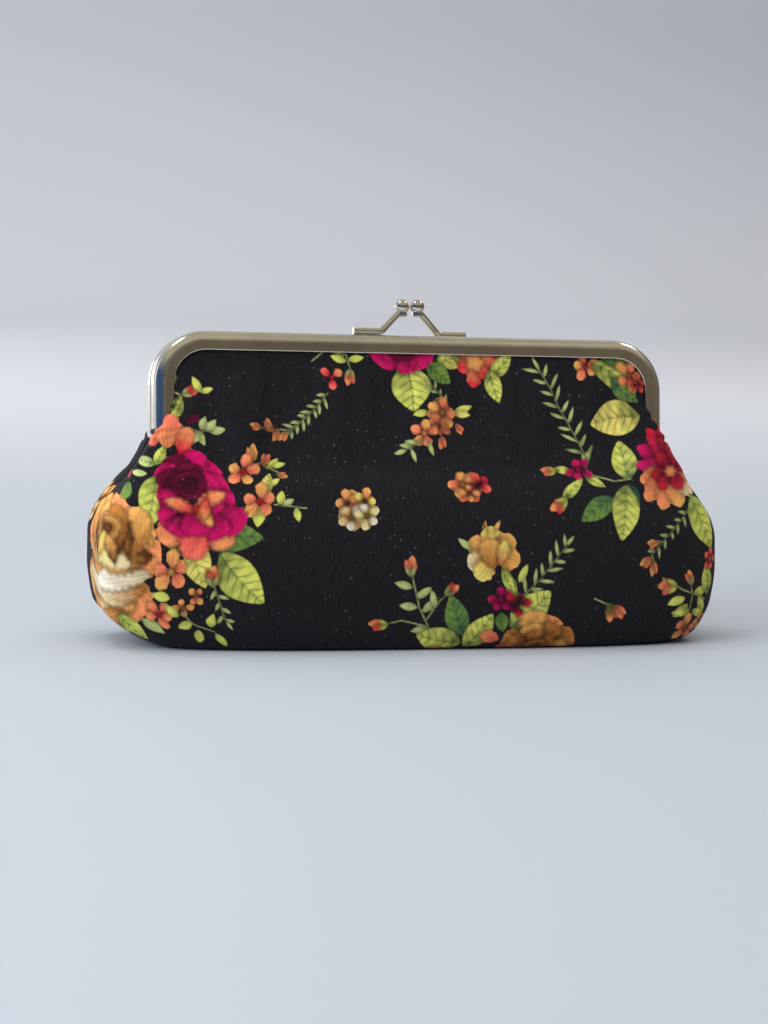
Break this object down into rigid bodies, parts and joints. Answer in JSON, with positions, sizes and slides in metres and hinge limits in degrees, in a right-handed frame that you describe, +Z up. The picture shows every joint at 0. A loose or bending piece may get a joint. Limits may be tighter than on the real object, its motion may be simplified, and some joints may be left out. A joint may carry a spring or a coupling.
{
  "type": "coin purse",
  "caption": "Boxed cloth coin purse on a hinged two-part metal frame, shut by a ball clasp, with a lined and padded bag.",
  "frame": {"origin": "centre of the flat base, on the surface that the purse stands on", "axes": "+X along the frame to the right seen from the front, +Y to the back, +Z up"},
  "size_m": [0.1802, 0.0453, 0.0955],
  "materials": {
    "printed_canvas": "matte ribbed canvas, black ground with a flower print",
    "wadding": "soft needled batting",
    "lining_cotton": "plain woven cotton",
    "frame_metal": "satin nickel plate over bent steel strip",
    "clasp_metal": "polished nickel plate",
    "rivet_steel": "nickel plate",
    "paper_twine": "twisted kraft paper"
  },
  "bodies": {
    "bag": {"outer_front_lower": "printed_canvas", "outer_back_lower": "printed_canvas", "wadding_front_lower": "wadding", "wadding_back_lower": "wadding", "lining_front_lower": "lining_cotton", "lining_back_lower": "lining_cotton", "left_hinge_rivet": "rivet_steel", "right_hinge_rivet": "rivet_steel"},
    "front_half": {"outer_front_upper": "printed_canvas", "wadding_front_upper": "wadding", "lining_front_upper": "lining_cotton", "front_frame": "frame_metal", "front_channel_twine": "paper_twine"},
    "back_half": {"outer_back_upper": "printed_canvas", "wadding_back_upper": "wadding", "lining_back_upper": "lining_cotton", "back_frame": "frame_metal", "back_channel_twine": "paper_twine"},
    "front_clasp": {"front_clasp_arm": "clasp_metal", "front_clasp_ball": "clasp_metal"},
    "back_clasp": {"back_clasp_arm": "clasp_metal", "back_clasp_ball": "clasp_metal"}
  },
  "joints": [
    {"name": "front_frame_hinge", "type": "hinge", "parent": "bag", "child": "front_half", "pos_m": [0, 0.004, 0.0535], "axis": [1, 0, 0], "range_deg": [0, 45]},
    {"name": "back_frame_hinge", "type": "hinge", "parent": "bag", "child": "back_half", "pos_m": [0, 0.004, 0.0535], "axis": [-1, 0, 0], "range_deg": [0, 45]},
    {"name": "front_clasp_flex", "type": "hinge", "parent": "front_half", "child": "front_clasp", "pos_m": [0, 0.00678, 0.08652], "axis": [1, 0, 0], "range_deg": [-4, 4], "stiffness_Nm_per_rad": 0.004},
    {"name": "back_clasp_flex", "type": "hinge", "parent": "back_half", "child": "back_clasp", "pos_m": [0, 0.01269, 0.08548], "axis": [1, 0, 0], "range_deg": [-4, 4], "stiffness_Nm_per_rad": 0.004}
  ],
  "couplings": [
    {"joint": "back_frame_hinge", "follows": "front_frame_hinge", "ratio": 1}
  ]
}
